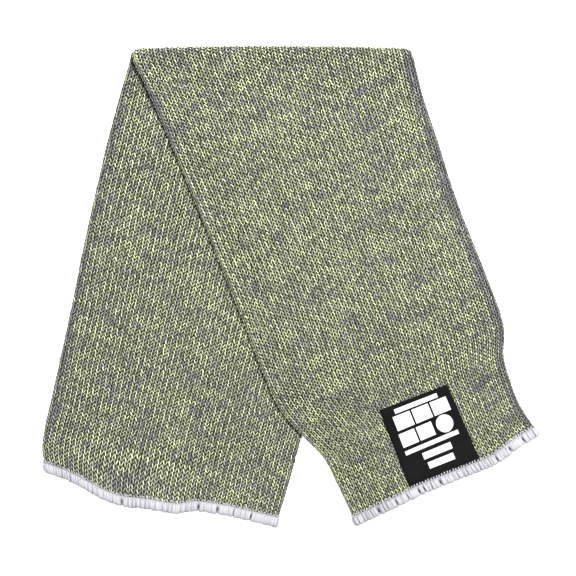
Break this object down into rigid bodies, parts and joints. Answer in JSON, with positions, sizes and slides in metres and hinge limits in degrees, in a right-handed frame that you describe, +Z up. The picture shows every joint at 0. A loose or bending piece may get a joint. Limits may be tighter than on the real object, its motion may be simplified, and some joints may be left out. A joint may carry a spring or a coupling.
{
  "type": "cut resistant sleeve",
  "caption": "Knitted cut resistant work sleeve with overlocked hems and a woven label, folded in half crosswise and lying flat.",
  "frame": {"origin": "middle of the underside of the whole folded sleeve's box", "axes": "+Z up from the surface that it lies on, +X along the fold, +Y from the mouths towards the fold"},
  "size_m": [0.2436, 0.2374, 0.0194],
  "materials": {
    "marl_knit": "knitted marl of lime yellow and grey yarns, matt",
    "hem_thread": "white overlock thread, soft sheen",
    "woven_label": "black woven satin, slight sheen"
  },
  "bodies": {
    "root": {"knit_tube": "marl_knit", "upper_arm_hem": "hem_thread", "wrist_hem": "hem_thread", "label": "woven_label"}
  },
  "joints": []
}
